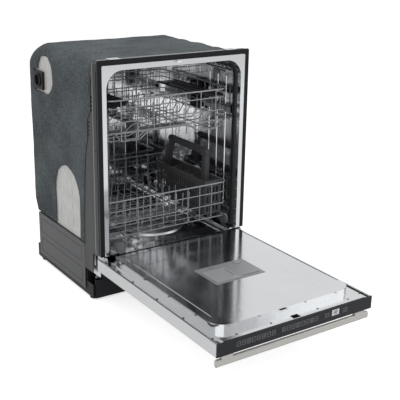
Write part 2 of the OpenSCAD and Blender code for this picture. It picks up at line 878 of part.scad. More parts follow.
// The same wire of the back wall's mat
module back_mat(z, d, half) {
    y1 = rack_back;
    end_y = y1 - back_corner - mat_lap;
    wire_path([[-half, end_y, z], [-half, y1 - back_corner, z], [-half + back_corner, y1, z],
        [half - back_corner, y1, z], [half, y1 - back_corner, z], [half, end_y, z]], d);
}

// The same wire of both side walls, butted to the front and back mats
module side_mats(z, d, half, corner) {
    joint = mat_lap + 0.3 * d + mat_gap;
    both_sides() wire([half, rack_front + corner + joint, z], [half, rack_back - back_corner - joint, z], d);
}

module lower_rack_walls() {
    low = lower_floor_z + 1;
    levels = [[lower_rim_z, rim_d], [lower_rim_z - 36, wire_d], [lower_rim_z - 80, wire_d], [low, wire_d]];
    front_y = rack_front + wire_in;
    back_y = rack_back - wire_in;
    side_x = rack_half - wire_in;
    foot = 24;
    color("#8e9093") placed() {
        for (l = levels) {
            front_mat(l[0], l[1], rack_half, lower_corner);
            back_mat(l[0], l[1], rack_half);
            side_mats(l[0], l[1], rack_half, lower_corner);
        }
        for (x = [-182:52:182]) {
            wire_path([[x, front_y, lower_rim_z], [x, front_y, low - 8], [x, front_y + foot, low - 1]], wire_d);
            wire([x, back_y, low - 1], [x, back_y, lower_rim_z], wire_d);
        }
        both_sides() for (y = [rack_front + 52:50:rack_back - 30])
            wire([side_x, y, low - 1], [side_x, y, lower_rim_z], wire_d);
    }
}

module lower_rack_floor() {
    x_end = rack_half;
    color("#8e9093") placed() {
        for (y = [rack_front + 44:52:rack_back - 20])
            wire([-x_end, y, lower_floor_z], [x_end, y, lower_floor_z], wire_d);
        for (x = [-182:52:182])
            wire([x, rack_front, lower_floor_z + 3], [x, rack_back, lower_floor_z + 3], wire_d);
        for (k = [2, 3]) tine_row(tine_ys[k], lower_floor_z + 7.8, -220, 132);
        for (x = clip_xs, k = [0, 1]) difference() {
            slab([x - 4, tine_ys[k] - 6, lower_floor_z + 1], [x + 4, tine_ys[k] + 6, fold_z + 5.6]);
            rod_x(x - 5, x + 5, tine_ys[k], fold_z, wire_d / 2 + 1.1);
        }
    }
}

// A wire across the rack with a row of upright tines
module tine_row(y, z, x0, x1) {
    wire([x0, y, z], [x1, y, z], wire_d + 1);
    rod_x(x0 - 5, x0 + 1, y, z, wire_d / 2 + 0.6);
    for (x = [x0 + 8:tine_pitch:x1 - 4]) {
        wire([x, y, z], [x, y - 5, z + tine_h], wire_d);
    }
}

module tine_row_front() {
    color("#8e9093") placed() tine_row(tine_ys[0], fold_z, -220, 132);
}

module tine_row_middle() {
    color("#8e9093") placed() tine_row(tine_ys[1], fold_z, -220, 132);
}

module roller_carriers() {
    x0 = 238.4;
    x1 = 243.2;
    top = lower_floor_z - wire_d / 2 - 0.2;
    color("#6d6f72") placed() both_sides() for (pair = [0, 2]) {
        y0 = wheel_ys[pair];
        y1 = wheel_ys[pair + 1];
        difference() {
            union() {
                for (y = [y0, y1]) rod_x(x0, x1, y, wheel_z, 12);
                slab([x0, y0 - 8, wheel_z], [x1, y1 + 8, top]);
            }
            for (y = [y0 + 20:20:y1 - 20]) slab([x0 - 1, y - 6, wheel_z + 4], [x1 + 1, y + 6, top - 5]);
        }
        for (y = [y0, y1]) {
            rod_x(x0, 254.8, y, wheel_z, 4);
            rod_x(254.7, 256, y, wheel_z, 6);
        }
    }
}

// A pair of wheels on one line across the rack
module wheel_pair(y) {
    color("#7b7d80") placed() both_sides() difference() {
        union() {
            rod_x(244, 254.4, y, wheel_z, wheel_r);
        }
        rod_x(243, 256, y, wheel_z, 4 + run);
        for (a = [0:60:300]) translate([0, y, wheel_z]) rotate([a, 0, 0]) rod_x(250, 256, 0, 10.5, 3);
        difference() {
            rod_x(252.8, 256, y, wheel_z, 14.5);
            rod_x(252, 257, y, wheel_z, 7);
        }
    }
}

module lower_wheels_1() {
    wheel_pair(wheel_ys[0]);
}

module lower_wheels_2() {
    wheel_pair(wheel_ys[1]);
}

module lower_wheels_3() {
    wheel_pair(wheel_ys[2]);
}

module lower_wheels_4() {
    wheel_pair(wheel_ys[3]);
}

// ---- Cutlery basket ----------------------------------------------------------

module cutlery_basket() {
    x1 = 240;
    x0 = x1 - basket_w;
    y0 = 62;
    y1 = y0 + basket_l;
    z0 = lower_floor_z + 8.4;
    z1 = z0 + basket_h;
    t = 2.2;
    slot_pitch = 14;
    mid = (x0 + x1) / 2;
    grip_z = z1 + 98;
    grip_r = 12;
    color("#4a4b4d") placed() {
        difference() {
            slab([x0, y0, z0], [x1, y1, z1]);
            slab([x0 + t, y0 + t, z0 + t], [x1 - t, y1 - t, z1 + 1]);
            for (y = [y0 + 10:slot_pitch:y1 - 14], z = [z0 + 8, z0 + 42, z0 + 76])
                slab([x0 - 1, y, z], [x1 + 1, y + 9, z + 28]);
            for (x = [x0 + 8:slot_pitch:x1 - 12], z = [z0 + 8, z0 + 42, z0 + 76])
                slab([x, y0 - 1, z], [x + 9, y1 + 1, z + 28]);
            for (y = [y0 + 12:20:y1 - 16], x = [x0 + 10:18:x1 - 12])
                slab([x, y, z0 - 1], [x + 12, y + 13, z0 + t + 1]);
        }
        for (k = [1:4]) slab([x0 + 1, y0 + k * basket_l / 5 - 1, z0 + 1],
            [x1 - 1, y0 + k * basket_l / 5 + 1, z1 - 16]);
        difference() {
            slab([x0 - 2, y0 - 2, z1 - 14], [x1 + 2, y1 + 2, z1]);
            slab([x0 + t, y0 + t, z1 - 15], [x1 - t, y1 - t, z1 + 1]);
        }
        basket_post(mid, y0 + basket_l / 5 - 1, -1, z1, grip_z, 12);
        basket_post(mid, y1, -1, z1, grip_z, 46);
        rod_y(mid, y0 + 52, y1 - 42, grip_z, grip_r);
        for (y = [y0 + 62:11:y1 - 58]) rod_y(mid, y, y + 6, grip_z, grip_r + 1.5);
    }
}

// One leaning leg of the basket's handle, from the rim to the grip
module basket_post(x, y, way, z1, z2, lean) {
    along_x(x - 10, x + 10) polygon([[y, z1 - 30], [y, z1 - 4], [y + way * (lean - 6), z2 - 22],
        [y + way * lean, z2 + 4], [y + way * (lean + 12), z2 + 10], [y + way * (lean + 20), z2 - 6],
        [y + way * (lean + 14), z2 - 14], [y + way * 22, z1 - 30]]);
    slab([x - 36, min(y, y + way * 3.4), z1 - 31], [x + 36, max(y, y + way * 3.4), z1 - 17]);
}

// ---- Upper rack --------------------------------------------------------------

module upper_rack_walls() {
    half = rack_half - 1;
    low = upper_floor_z + 6;
    levels = [[upper_rim_z, rim_d], [upper_rim_z - 28, wire_d], [upper_rim_z - 74, wire_d], [low, wire_d]];
    front_y = rack_front + wire_in;
    back_y = rack_back - wire_in;
    side_x = half - wire_in;
    color("#9fa1a4") placed() {
        for (l = levels) {
            front_mat(l[0], l[1], half, upper_corner);
            back_mat(l[0], l[1], half);
            side_mats(l[0], l[1], half, upper_corner);
        }
        wire_path(step_line(front_y + wire_in, half - upper_corner, upper_floor_z), wire_d);
        for (x = [-192:64:192]) {
            wire([x, front_y, upper_floor_z - (abs(x) < 100 ? 0 : step_drop)], [x, front_y, upper_rim_z], wire_d);
            wire([x, back_y, low - 1], [x, back_y, upper_rim_z], wire_d);
        }
        both_sides() for (y = [rack_front + 52:50:rack_back - 30])
            wire([side_x, y, low - 1], [side_x, y, upper_rim_z], wire_d);
    }
}

// Stepped cross wire, low under the cups at each side and high over the wash arm
function step_line(y, half, z) = [[-half, y, z + 6], [-half + 20, y, z - step_drop], [-120, y, z - step_drop],
    [-84, y, z], [84, y, z], [120, y, z - step_drop], [half - 20, y, z - step_drop], [half, y, z + 6]];

module upper_rack_floor() {
    half = rack_half - 1;
    z = upper_floor_z;
    front_y = rack_front + 2 * wire_in - 4;
    rows = [for (y = [rack_front + 24:46:rack_back - 20]) y];
    last = rows[len(rows) - 1];
    color("#9fa1a4") placed() {
        for (y = rows) wire_path(step_line(y, half, z), wire_d);
        for (x = [-175, 175]) wire([x, front_y, z - step_drop + 3], [x, last + 4, z - step_drop + 3], wire_d);
        for (x = [-55, 0, 55]) wire([x, front_y, z + 3], [x, rack_back, z + 3], wire_d);
        both_sides() for (x = [28, 72], y = rows) wire([x, y + 1, z], [x, y + 1, z + cup_tine_h], wire_d);
    }
}

module height_adjusters() {
    color("#1e1f21") placed() both_sides() {
        difference() {
            slab([253.2, 225, 606], [255.9, 305, 706]);
            for (z = [668, 680, 692]) slab([252, 236, z], [257, 294, z + 5]);
        }
        slab([255.8, 190, 631], [258.8, 492, 641]);
        slab([255.8, 225, 624], [256.8, 305, 648]);
        slab([245.5, 250, 676], [253.3, 284, 685.6]);
    }
}

// A cup shelf that folds up about a barrel beside the rack's side wires
module comb_shelf() {
    x = -shelf_x;
    z = 690;
    y0 = 62;
    y1 = 346;
    color("#17181a") placed() {
        rod_y(x, y0 + 8, y1, z, 5);
        slab([x, y0, z - 2], [x + 20, y1, z + 2]);
        for (y = [y0:14:y1 - 6]) along_y(y, y + 6) polygon([[x + 18, z - 3], [x + 74, z + 3], [x + 84, z + 16],
            [x + 76, z + 18], [x + 68, z + 9], [x + 18, z + 4]]);
        slab([x + 44, y0, z - 1], [x + 52, y1, z + 3]);
    }
}

module flat_shelf() {
    x = shelf_x;
    z = 690;
    y0 = 62;
    y1 = 390;
    color("#3b3d40") placed() difference() {
        union() {
            rod_y(x, y0 + 8, y1, z, 5);
            slab([x - 72, y0, z - 2], [x, y1, z + 2]);
            rod_y(x - 72, y0, y1, z, 4);
        }
        for (y = [y0 + 14:26:y1 - 30]) slab([x - 60, y, z - 5], [x - 14, y + 14, z + 5]);
    }
}

tub();
front_trim();
front_channels();
door_seal();
insulation_blanket();
base_pan();
side_panels();
toe_kick();
levelling_feet();
air_break_tank();
vent_outlet();
sump();
circulation_pump();
drain_pump();
inlet_valve();
junction_box();
feed_tube();
fixed_rails();
hinge_brackets();
hinge_pins();
door_strike();
mounting_tabs();
fine_filter();
vent_cover();
door_springs();
lower_wash_arm();
top_wash_arm();
coarse_filter();
float_dome();
inner_door();
outer_panel();
control_panel();
display_window();
handle_bar();
handle_posts();
hinge_arms();
dispenser_body();
dispenser_lid();
rinse_cap();
door_latch();
door_screws();
bottom_seal();
lower_rack_floor();
lower_rack_walls();
roller_carriers();
lower_wheels_1();
lower_wheels_2();
lower_wheels_3();
lower_wheels_4();
tine_row_front();
tine_row_middle();
cutlery_basket();
upper_rack_floor();
upper_rack_walls();
height_adjusters();
middle_rails();
comb_shelf();
flat_shelf();
middle_wash_arm();
manifold();
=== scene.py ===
"""Looks of the built-in dishwasher: rack wires, felt blanket, key marks, materials, light and camera."""

import json
import math
from collections import namedtuple

import bpy
import numpy as np
from mathutils import Matrix, Vector, noise


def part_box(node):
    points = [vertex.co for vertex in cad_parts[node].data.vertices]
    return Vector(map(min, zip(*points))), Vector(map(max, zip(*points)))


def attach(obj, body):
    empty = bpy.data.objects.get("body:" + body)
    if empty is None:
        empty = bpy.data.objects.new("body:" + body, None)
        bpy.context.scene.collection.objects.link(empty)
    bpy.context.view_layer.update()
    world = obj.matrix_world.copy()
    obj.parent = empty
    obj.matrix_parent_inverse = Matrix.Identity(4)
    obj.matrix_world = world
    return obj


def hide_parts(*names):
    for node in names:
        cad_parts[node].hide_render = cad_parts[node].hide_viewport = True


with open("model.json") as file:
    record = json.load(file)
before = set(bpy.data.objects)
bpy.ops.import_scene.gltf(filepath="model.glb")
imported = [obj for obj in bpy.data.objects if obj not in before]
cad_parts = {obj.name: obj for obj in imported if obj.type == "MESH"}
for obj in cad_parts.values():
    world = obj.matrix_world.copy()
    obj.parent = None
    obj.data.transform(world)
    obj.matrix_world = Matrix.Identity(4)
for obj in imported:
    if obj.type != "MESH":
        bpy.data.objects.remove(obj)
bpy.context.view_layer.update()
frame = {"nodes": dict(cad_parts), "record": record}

# Places are given in millimetres: across from the middle, behind the tub's front plane, and above the floor
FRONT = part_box("tub")[0].y


def mm(x, y, z):
    """A place in the frame."""
    return Vector((x / 1000, y / 1000 + FRONT, z / 1000))


def box_mm(node):
    """The low and high corners of a CAD node, to a tenth of a millimetre."""
    return [[round(v * 1000, 1) for v in (end.x, end.y - FRONT, end.z)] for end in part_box(node)]


def steps(start, stop, step):
    """The numbers from start, step apart, up to and with stop, even if rounding falls just short of it."""
    return [start + i * step for i in range(int((stop - start) / step + 1.001))]


def place(name, data):
    """A new object in the scene, made of a mesh, a curve, a lamp or a camera."""
    thing = bpy.data.objects.new(name, data)
    bpy.context.scene.collection.objects.link(thing)
    return thing


def solid(name, verts, faces):
    """A new mesh object."""
    mesh = bpy.data.meshes.new(name)
    mesh.from_pydata(verts, [], faces)
    return place(name, mesh)


# ---- Shader nodes ------------------------------------------------------------


def add(tree, kind, inputs, **settings):
    """A new node. Each input is a plain value, or the output that feeds it."""
    node = tree.nodes.new("ShaderNode" + kind)
    for key, value in settings.items():
        setattr(node, key, value)
    for key, value in inputs.items():
        if isinstance(value, bpy.types.NodeSocket):
            tree.links.new(value, node.inputs[key])
        else:
            node.inputs[key].default_value = value
    return node


def reckon(tree, operation, *inputs):
    """The output of a math node."""
    return add(tree, "Math", dict(enumerate(inputs)), operation=operation).outputs[0]


def blend(tree, share, under, color):
    """An output that passes from the colour under it to a plain one."""
    mix = add(tree, "Mix", {"Factor": share, "A": under, "B": (*color, 1)}, data_type="RGBA")
    return mix.outputs["Result"]


def own_place(tree):
    """The point of the surface, in the object's own space."""
    return add(tree, "TexCoord", {}).outputs["Object"]


def spread(tree, stretch, scale, detail, roughness=0.5):
    """Noise over the object, stretched along its axes."""
    point = add(tree, "Mapping", {"Vector": own_place(tree), "Scale": stretch}).outputs["Vector"]
    settings = {"Vector": point, "Scale": scale, "Detail": detail, "Roughness": roughness}
    return add(tree, "TexNoise", settings).outputs["Fac"]


# ---- Materials ---------------------------------------------------------------

LOOKS = {}
FINE_SHARE = 0.6  # of the fine noise in the unevenness; broad noise is the rest
COAT_ROUGHNESS = 0.15
DENT_MM = 4  # depth that a wave of 1 gives the broad dents
SPECK = (0.34, 0.38, 0.40)  # pale fibres in the felt
DARK_AT, PALE_AT, SMOOTH_AT, ROUGH_AT = 0.32, 0.68, 0.3, 0.7  # values of the noise where its effects end
LEAST_ROUGH = 0.02


def surface(name, color, roughness, metallic=0.0, gloss=0.5, coat=0.0, sheen=0.0, grain=40, tint=0.12,
            rough_spread=0.08, bump=0.1, bump_mm=0.3, wave=0.0, swell=7, specks=0.0):
    """Adds a look with uneven colour, roughness and relief.

    grain and swell are the finenesses of its fine and broad noise, as one number or one for each axis. Both
    noises vary the colour by tint and the roughness by rough_spread. bump is the strength of the fine relief,
    wave that of the broad one, gloss that of the shine, and specks that of the pale fibres.
    """
    mat = bpy.data.materials.new(name)
    mat.use_nodes = True
    tree = mat.node_tree
    shader = tree.nodes["Principled BSDF"]
    fixed = {"Metallic": metallic, "Specular IOR Level": gloss, "Coat Weight": coat,
             "Coat Roughness": COAT_ROUGHNESS, "Sheen Weight": sheen}
    for key, value in fixed.items():
        shader.inputs[key].default_value = value
    grain, swell = (size if isinstance(size, tuple) else (size,) * 3 for size in (grain, swell))
    fine = spread(tree, grain, scale=5, detail=6, roughness=0.65)
    broad = spread(tree, swell, scale=1, detail=3)
    uneven = reckon(tree, "MULTIPLY_ADD", fine, FINE_SHARE, reckon(tree, "MULTIPLY", broad, 1 - FINE_SHARE))

    ramp = add(tree, "ValToRGB", {"Fac": uneven})
    for stop, position, level in zip(ramp.color_ramp.elements, (DARK_AT, PALE_AT), (1 - tint, 1 + tint)):
        stop.position = position
        stop.color = (*[min(1, c * level) for c in color], 1)
    paint = ramp.outputs["Color"]
    if specks:
        dots = spread(tree, (1, 1, 1), scale=240, detail=2)
        few = add(tree, "MapRange", {"Value": dots, "From Min": 0.58, "From Max": 0.72, "To Max": specks})
        paint = blend(tree, few.outputs["Result"], paint, SPECK)
    tree.links.new(paint, shader.inputs["Base Color"])

    least, most = max(LEAST_ROUGH, roughness - rough_spread), min(1.0, roughness + rough_spread)
    rough = {"Value": uneven, "From Min": SMOOTH_AT, "From Max": ROUGH_AT, "To Min": least, "To Max": most}
    tree.links.new(add(tree, "MapRange", rough).outputs["Result"], shader.inputs["Roughness"])

    relief = {"Height": fine, "Strength": bump, "Distance": bump_mm / 1000}
    if wave:
        dents = {"Height": broad, "Strength": wave, "Distance": DENT_MM / 1000}
        relief["Normal"] = add(tree, "Bump", dents).outputs["Normal"]
    tree.links.new(add(tree, "Bump", relief).outputs["Normal"], shader.inputs["Normal"])
    LOOKS[name] = mat


surface("tub_steel", (0.74, 0.75, 0.76), 0.10, metallic=1.0, grain=(60, 60, 3), tint=0.06, rough_spread=0.04,
        bump=0.06, wave=0.5, swell=(16, 16, 2))
surface("door_liner_steel", (0.62, 0.63, 0.64), 0.14, metallic=1.0, grain=(60, 3, 3), tint=0.05,
        rough_spread=0.05, bump=0.06, wave=0.2)
surface("door_skin_steel", (0.44, 0.445, 0.45), 0.32, metallic=1.0, grain=(3, 90, 90), tint=0.05,
        rough_spread=0.06, bump=0.15)
surface("trim_black", (0.012, 0.013, 0.015), 0.38, gloss=0.12, grain=70, tint=0.2, rough_spread=0.06,
        bump=0.2)
surface("channel_steel", (0.018, 0.019, 0.021), 0.2, metallic=0.3, gloss=0.15, grain=(8, 60, 3), tint=0.2,
        rough_spread=0.06, bump=0.1, wave=0.3, swell=(4, 30, 1))
surface("seal_rubber", (0.014, 0.014, 0.015), 0.62, grain=90, tint=0.2, rough_spread=0.08, bump=0.3)
surface("felt", (0.082, 0.096, 0.105), 0.95, gloss=0.15, sheen=0.08, grain=26, tint=0.75, rough_spread=0.04,
        bump=0.9, bump_mm=1.6, specks=0.6)
surface("base_black", (0.010, 0.010, 0.012), 0.5, gloss=0.15, grain=90, tint=0.2, rough_spread=0.08,
        bump=0.25)
surface("side_panel_grey", (0.088, 0.090, 0.094), 0.45, gloss=0.2, grain=60, tint=0.05, rough_spread=0.05,
        bump=0.15)
surface("foot_black", (0.03, 0.03, 0.03), 0.55, gloss=0.3, grain=70, tint=0.15, rough_spread=0.06, bump=0.2)
surface("tank_white", (0.62, 0.62, 0.60), 0.38, grain=(14, 14, 5), tint=0.22, rough_spread=0.1, bump=0.5,
        bump_mm=1.5, wave=0.3)
surface("pump_black", (0.04, 0.042, 0.046), 0.48, gloss=0.35, grain=70, tint=0.15, rough_spread=0.06,
        bump=0.2)
surface("zinc_steel", (0.52, 0.53, 0.54), 0.36, metallic=0.9, grain=25, tint=0.14, rough_spread=0.1,
        bump=0.15)
surface("grey_plastic", (0.40, 0.41, 0.42), 0.42, grain=60, tint=0.06, rough_spread=0.05, bump=0.15)
surface("rail_steel", (0.34, 0.345, 0.35), 0.25, metallic=1.0, grain=(60, 4, 60), tint=0.06,
        rough_spread=0.06, bump=0.12)
surface("pin_steel", (0.55, 0.55, 0.56), 0.28, metallic=1.0, grain=60, tint=0.06, rough_spread=0.06, bump=0.1)
surface("filter_steel", (0.56, 0.57, 0.58), 0.3, metallic=1.0, grain=40, tint=0.08, rough_spread=0.06,
        bump=0.2)
surface("vent_grey", (0.66, 0.67, 0.67), 0.4, grain=50, tint=0.06, rough_spread=0.05, bump=0.15)
surface("spring_steel", (0.38, 0.39, 0.41), 0.32, metallic=1.0, grain=50, tint=0.1, rough_spread=0.08,
        bump=0.1)
surface("filter_grey", (0.16, 0.165, 0.17), 0.45, grain=60, tint=0.08, rough_spread=0.06, bump=0.2)
surface("panel_black", (0.017, 0.018, 0.022), 0.32, gloss=0.15, grain=80, tint=0.06, rough_spread=0.05,
        bump=0.08)
surface("display", (0.022, 0.023, 0.027), 0.22, gloss=0.2, grain=60, tint=0.04, rough_spread=0.04, bump=0.05)
surface("handle_steel", (0.42, 0.41, 0.39), 0.32, metallic=0.55, grain=(3, 90, 90), tint=0.06,
        rough_spread=0.06, bump=0.15)
surface("dispenser_grey", (0.30, 0.31, 0.32), 0.36, grain=60, tint=0.07, rough_spread=0.05, bump=0.15)
surface("lid_grey", (0.40, 0.41, 0.42), 0.34, grain=60, tint=0.07, rough_spread=0.05, bump=0.15)
surface("latch_black", (0.025, 0.026, 0.028), 0.45, gloss=0.3, grain=70, tint=0.1, rough_spread=0.05,
        bump=0.2)
surface("screw_steel", (0.10, 0.10, 0.105), 0.35, metallic=0.9, grain=80, tint=0.1, rough_spread=0.08,
        bump=0.1)
surface("rack_grey", (0.25, 0.255, 0.265), 0.28, metallic=0.55, coat=0.3, grain=70, tint=0.1,
        rough_spread=0.06, bump=0.15)
surface("upper_rack_grey", (0.27, 0.275, 0.285), 0.28, metallic=0.55, coat=0.3, grain=70, tint=0.1,
        rough_spread=0.06, bump=0.15)
surface("wheel_grey", (0.085, 0.088, 0.092), 0.45, gloss=0.25, grain=70, tint=0.1, rough_spread=0.06,
        bump=0.2)
surface("basket_grey", (0.085, 0.087, 0.090), 0.42, gloss=0.2, grain=70, tint=0.12, rough_spread=0.06,
        bump=0.25)
surface("adjuster_black", (0.012, 0.012, 0.014), 0.4, gloss=0.15, grain=70, tint=0.15, rough_spread=0.06,
        bump=0.2)
surface("manifold_grey", (0.17, 0.175, 0.18), 0.42, grain=60, tint=0.08, rough_spread=0.06, bump=0.2)


def recolor(look, lo, hi, color):
    """Gives the part of a look inside a box, in millimetres, another colour, on both sides alike."""
    tree = LOOKS[look].node_tree
    across, back, up = add(tree, "SeparateXYZ", {"Vector": own_place(tree)}).outputs
    inside = None
    for spot, low_end, high_end in zip((reckon(tree, "ABSOLUTE", across), back, up), mm(*lo), mm(*hi)):
        near = reckon(tree, "COMPARE", spot, (low_end + high_end) / 2, (high_end - low_end) / 2)
        inside = near if inside is None else reckon(tree, "MULTIPLY", inside, near)
    base = tree.nodes["Principled BSDF"].inputs["Base Color"]
    tree.links.new(blend(tree, inside, base.links[0].from_socket, color), base)


# Past the part's sides and its top
SIDES, TOP = 310, 870

# The steel runners of the black height adjusters
recolor("adjuster_black", (255.75, 30, 630), (259, 500, 642), (0.30, 0.31, 0.32))
# Painted shade on the fold of the side channels, and a painted highlight along their edge
recolor("channel_steel", (290, 3, 0), (SIDES, 17, TOP), (0.006, 0.006, 0.007))
recolor("channel_steel", (290, 38, 0), (SIDES, 41, TOP), (0.28, 0.285, 0.29))
# The handle's lower edge is darker: painted shade
recolor("handle_steel", (-SIDES, -700, 90), (SIDES, -640, 103), (0.20, 0.19, 0.175))
# The tub's front flange
recolor("tub_steel", (-SIDES, -2, 100), (SIDES, 0.3, TOP), (0.50, 0.51, 0.52))
# The tub's outside is darker: its rear, the underside of the sunk floor and of the ledges beside it
TUB_REAR, SUNK_FLOOR, LEDGE, LEDGE_X = 530.6, 180.3, 194.6, 229.3
for tub_lo, tub_hi in (((0, TUB_REAR, 100), (SIDES, 550, TOP)),
                       ((0, 3, 100), (SIDES, 550, SUNK_FLOOR)),
                       ((LEDGE_X, 3, 100), (SIDES, 550, LEDGE))):
    recolor("tub_steel", tub_lo, tub_hi, (0.16, 0.165, 0.17))

SLOT_OF = {row["node"]: row["material_slot"] for row in frame["record"]["subparts"]}
for node, thing in frame["nodes"].items():
    thing.data.materials.clear()
    thing.data.materials.append(LOOKS[SLOT_OF[node]])


def finish_piece(piece, body, slot, *stands_for):
    """Gives a new piece its material, its body and the CAD nodes it stands for."""
    piece.data.materials.clear()
    piece.data.materials.append(LOOKS[slot])
    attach(piece, body)
    if stands_for:
        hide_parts(*stands_for)
    return piece


# ---- Wires -------------------------------------------------------------------

# A wire's path is open or closed, and a domed one ends in a round tip
Path = namedtuple("Path", "points closed domed", defaults=(False, False))
WIRE_BEND, RIM_BEND, SPRING_BEND = 0.008, 0.02, 0.0005  # rounds of the wires' corners, in metres
MOST_CUT = 0.45  # of a stretch, that the round at one of its ends takes at most


def eased(points, radius, closed=False):
    """The path with each corner rounded by a short curve."""
    count = len(points)
    out = []
    for i, corner in enumerate(points):
        if not closed and i in (0, count - 1):
            out.append(corner)
            continue
        before, after = points[i - 1], points[(i + 1) % count]
        cut = min(radius, (before - corner).length * MOST_CUT, (after - corner).length * MOST_CUT)
        a = corner + (before - corner).normalized() * cut
        b = corner + (after - corner).normalized() * cut
        for t in (0, 0.25, 0.5, 0.75, 1):
            out.append(a * (1 - t) ** 2 + corner * 2 * t * (1 - t) + b * t ** 2)
    return out


def wires(name, paths, diameter, bend=WIRE_BEND):
    """One curve object of round wire along all the paths."""
    radius = diameter / 2000
    curve = bpy.data.curves.new(name, "CURVE")
    curve.dimensions = "3D"
    curve.bevel_depth = radius
    curve.bevel_resolution = 3
    curve.use_fill_caps = True
    for path in paths:
        points = eased(path.points, bend, path.closed)
        thickness = [1.0] * len(points)
        if path.domed:
            # Over its last radius the wire narrows in two steps
            tip = points.pop()
            way = (tip - points[-1]).normalized() * radius
            points += [tip - way, tip - way * 0.4, tip]
            thickness[-1:] = [1.0, 0.8, 0.3]
        line = curve.splines.new("POLY")
        line.points.add(len(points) - 1)
        for spot, point, wide in zip(line.points, points, thickness):
            spot.co = (*point, 1)
            spot.radius = wide
        line.use_cyclic_u = path.closed
        line.use_smooth = True
    return place(name, curve)


def straight(a, b, domed=False):
    """A straight wire between two places."""
    return Path([mm(*a), mm(*b)], domed=domed)


# ---- Both racks --------------------------------------------------------------

WIRE_D, RIM_D = 4, 6
WIRE_IN = 3  # from the level wires' line in to the uprights
bed_lo, bed_hi = box_mm("lower_rack_floor")
RACK_FRONT, RACK_BACK, BACK_CUT = bed_lo[1], bed_hi[1], 12
FRONT_UPRIGHTS, BACK_UPRIGHTS = RACK_FRONT + WIRE_IN, RACK_BACK - WIRE_IN
SIDE_UPRIGHTS = steps(RACK_FRONT + 52, RACK_BACK - 30, 50)
CORNER_STEPS, CLIP_STEPS = 5, 13  # points of a ring's front corner and of a clip's round back


def ring(z, half, corner):
    """A rack's level wire: round front corners and small rear ones."""
    bow = [(half - corner + corner * math.sin(t), RACK_FRONT + corner - corner * math.cos(t))
           for t in np.linspace(0, math.pi / 2, CORNER_STEPS)]
    right = bow + [(half, RACK_BACK - BACK_CUT), (half - BACK_CUT, RACK_BACK)]
    return Path([mm(x, y, z) for x, y in right + [(-x, y) for x, y in reversed(right)]], closed=True)


def side_uprights(half, foot, rim):
    """The upright wires of both side walls."""
    return [straight((side * (half - WIRE_IN), y, foot), (side * (half - WIRE_IN), y, rim))
            for side in (-1, 1) for y in SIDE_UPRIGHTS]


# ---- Lower rack --------------------------------------------------------------

RACK_HALF, CORNER = bed_hi[0], 20
FLOOR = bed_lo[2] + WIRE_D / 2
RIM, LEVELS = box_mm("lower_rack_walls")[1][2] - RIM_D / 2, (36, 80)  # and how far level wires lie below it
LENGTHWISE = steps(-182, 182, 52)  # front and rear uprights, and the floor wires between them
TINE_START, TINE_END, TINE_PITCH, TINE_HEIGHT, TINE_LEAN = -220, 132, 28, 84, 5
FIXED_ROWS, FIXED_LIFT = (300, 400), 7.8
FOLDING_ROWS, CLIP_ACROSS = {"front": 108, "middle": 204}, (-79, 26)
FOLD = FLOOR + 10.4  # the line that the folding rows turn on


def tine_row(y, z):
    """A row of tines on its level wire."""
    tines = [straight((x, y, z), (x, y - TINE_LEAN, z + TINE_HEIGHT), domed=True)
             for x in steps(TINE_START + 8, TINE_END - 4, TINE_PITCH)]
    return [straight((TINE_START, y, z), (TINE_END, y, z))] + tines


def lower_walls():
    """Level wires and uprights; each front upright bends in under the floor."""
    foot, bend_in, bend_down = FLOOR + 1, 24, 8
    walls = [ring(z, RACK_HALF, CORNER) for z in [RIM - level for level in LEVELS] + [foot]]
    for x in LENGTHWISE:
        walls.append(Path([mm(x, FRONT_UPRIGHTS, RIM), mm(x, FRONT_UPRIGHTS, foot - bend_down),
                           mm(x, FRONT_UPRIGHTS + bend_in, foot - 1)]))
        walls.append(straight((x, BACK_UPRIGHTS, foot - 1), (x, BACK_UPRIGHTS, RIM)))
    return walls + side_uprights(RACK_HALF, foot - 1, RIM)


def lower_floor():
    """Crosswise wires, lengthwise wires over them, and the fixed rows of tines."""
    over = FLOOR + 3
    floor = [straight((-RACK_HALF, y, FLOOR), (RACK_HALF, y, FLOOR))
             for y in steps(RACK_FRONT + 44, RACK_BACK - 20, 52)]
    floor += [straight((x, RACK_FRONT, over), (x, RACK_BACK, over)) for x in LENGTHWISE]
    for y in FIXED_ROWS:
        floor += tine_row(y, FLOOR + FIXED_LIFT)
    return floor


def clips(places):
    """Snap clips that hold the folding rows: blocks with a tunnel under a rounded back."""
    half_length, tunnel, back_width, back_height, foot = 4, 3.1, 6, 5.6, FLOOR + 1 - FOLD
    turns = np.linspace(0, math.pi, CLIP_STEPS)
    back = [(math.cos(a) * back_width, math.sin(a) * back_height) for a in turns]
    arch = [(math.cos(a) * tunnel, math.sin(a) * tunnel) for a in turns]
    outside = [(back_width, foot)] + back + [(-back_width, foot)]
    inside = [(-tunnel, foot)] + arch[::-1] + [(tunnel, foot)]
    loop, last = outside + inside, len(outside) - 1
    count = len(loop)
    verts, faces = [], []
    for x, y in places:
        first = len(verts)
        for dx in (-half_length, half_length):
            verts += [mm(x + dx, y + py, FOLD + pz) for py, pz in loop]
        for i in range(count):
            j = (i + 1) % count
            faces.append([first + i, first + j, first + count + j, first + count + i])
        for start, turn in ((first, 1), (first + count, -1)):
            for k in range(last):
                quad = [k, k + 1, count - 2 - k, count - 1 - k]
                faces.append([start + i for i in quad[::turn]])
    return solid("tine_clips", verts, faces)


